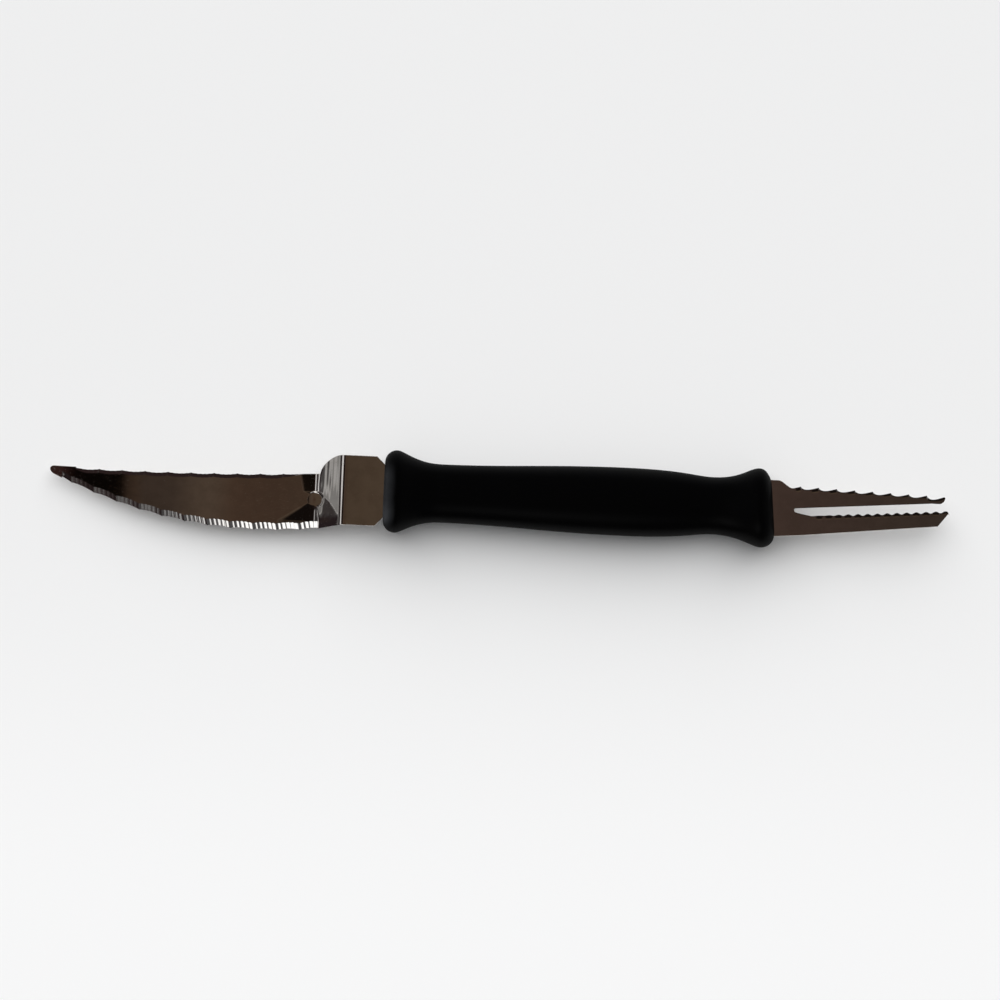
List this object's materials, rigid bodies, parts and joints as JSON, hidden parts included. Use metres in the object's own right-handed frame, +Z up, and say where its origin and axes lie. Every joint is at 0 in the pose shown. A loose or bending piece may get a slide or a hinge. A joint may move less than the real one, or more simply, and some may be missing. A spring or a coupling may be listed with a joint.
{
  "type": "grapefruit knife",
  "caption": "Double-ended grapefruit knife: a curved, double-edged serrated blade on an offset neck, a flared oval handle, and a slotted twin blade with toothed tines.",
  "frame": {"origin": "on the table under the handle's lip at the curved blade's end, in the middle of the small flat it rests on", "axes": "+X along the handle to the twin blade, +Y across it towards the toothed edge of the twin blade's upper tine, +Z up from the table"},
  "size_m": [0.2361, 0.0225, 0.0163],
  "materials": {
    "handle_moulding": "black, satin from the mould",
    "curved_blade_steel": "bright polished sheet with ground flutes along both edges",
    "twin_blade_steel": "bright polished sheet with stamped teeth"
  },
  "bodies": {
    "root": {"handle": "handle_moulding", "curved_blade": "curved_blade_steel", "twin_blade": "twin_blade_steel"}
  },
  "joints": []
}
